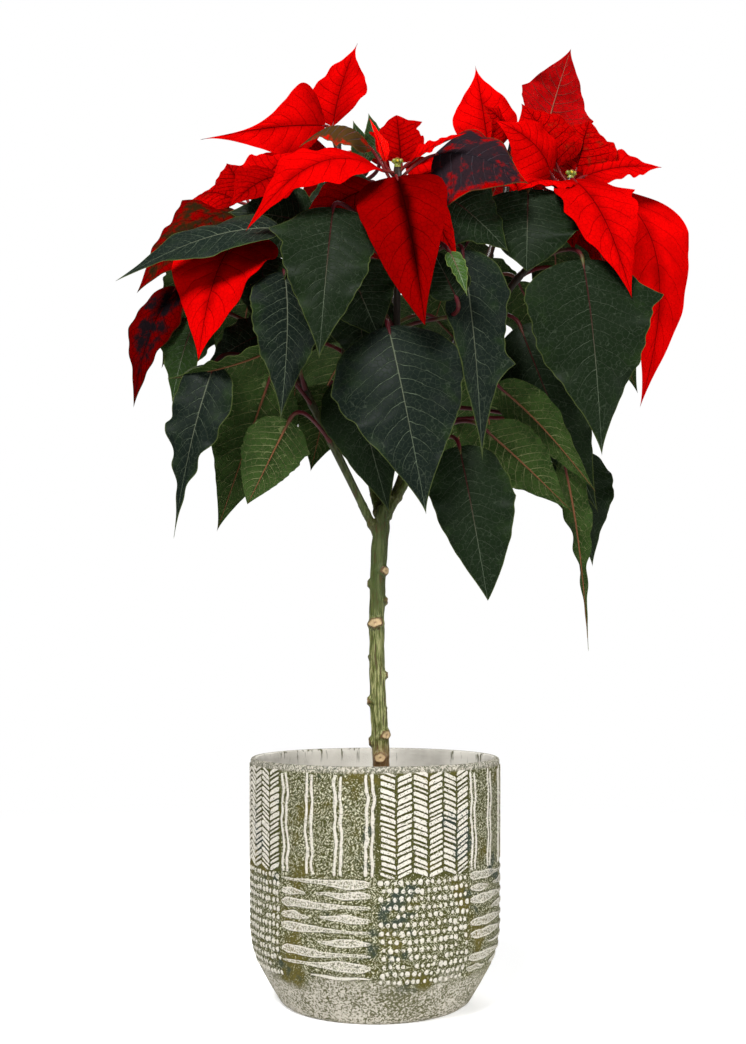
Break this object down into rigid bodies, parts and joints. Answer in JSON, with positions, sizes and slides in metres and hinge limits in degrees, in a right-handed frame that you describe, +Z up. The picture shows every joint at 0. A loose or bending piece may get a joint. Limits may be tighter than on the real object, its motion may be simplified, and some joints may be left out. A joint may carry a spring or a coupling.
{
  "type": "potted poinsettia",
  "caption": "Poinsettia grown as a small tree: a bare trunk, forked leafy stems and red bract blooms, in a round patterned cement pot.",
  "frame": {"origin": "centre of the pot's flat base", "axes": "+Z up, -Y towards the side that the picture shows, +X to its right"},
  "size_m": [0.4263, 0.3538, 0.7601],
  "materials": {
    "cement": "matt, rough, two-tone and worn",
    "soil": "matt, crumbly",
    "bark": "satin green bark with pale scars",
    "leaf": "satin leaf",
    "bract": "satin petal",
    "flower": "satin"
  },
  "bodies": {
    "root": {"pot": "cement", "soil": "soil", "trunk": "bark", "leafy_stem_left": "leaf", "leafy_stem_front": "leaf", "leafy_stem_right": "leaf", "leafy_stem_back_left": "leaf", "leafy_stem_back_right": "leaf", "leafy_stem_back": "leaf", "bloom_left": "bract", "bloom_front": "bract", "bloom_right": "bract", "bloom_back_left": "bract", "bloom_back_right": "bract", "bloom_back": "bract", "flowers_left": "flower", "flowers_front": "flower", "flowers_right": "flower", "flowers_back_left": "flower", "flowers_back_right": "flower", "flowers_back": "flower"}
  },
  "joints": []
}
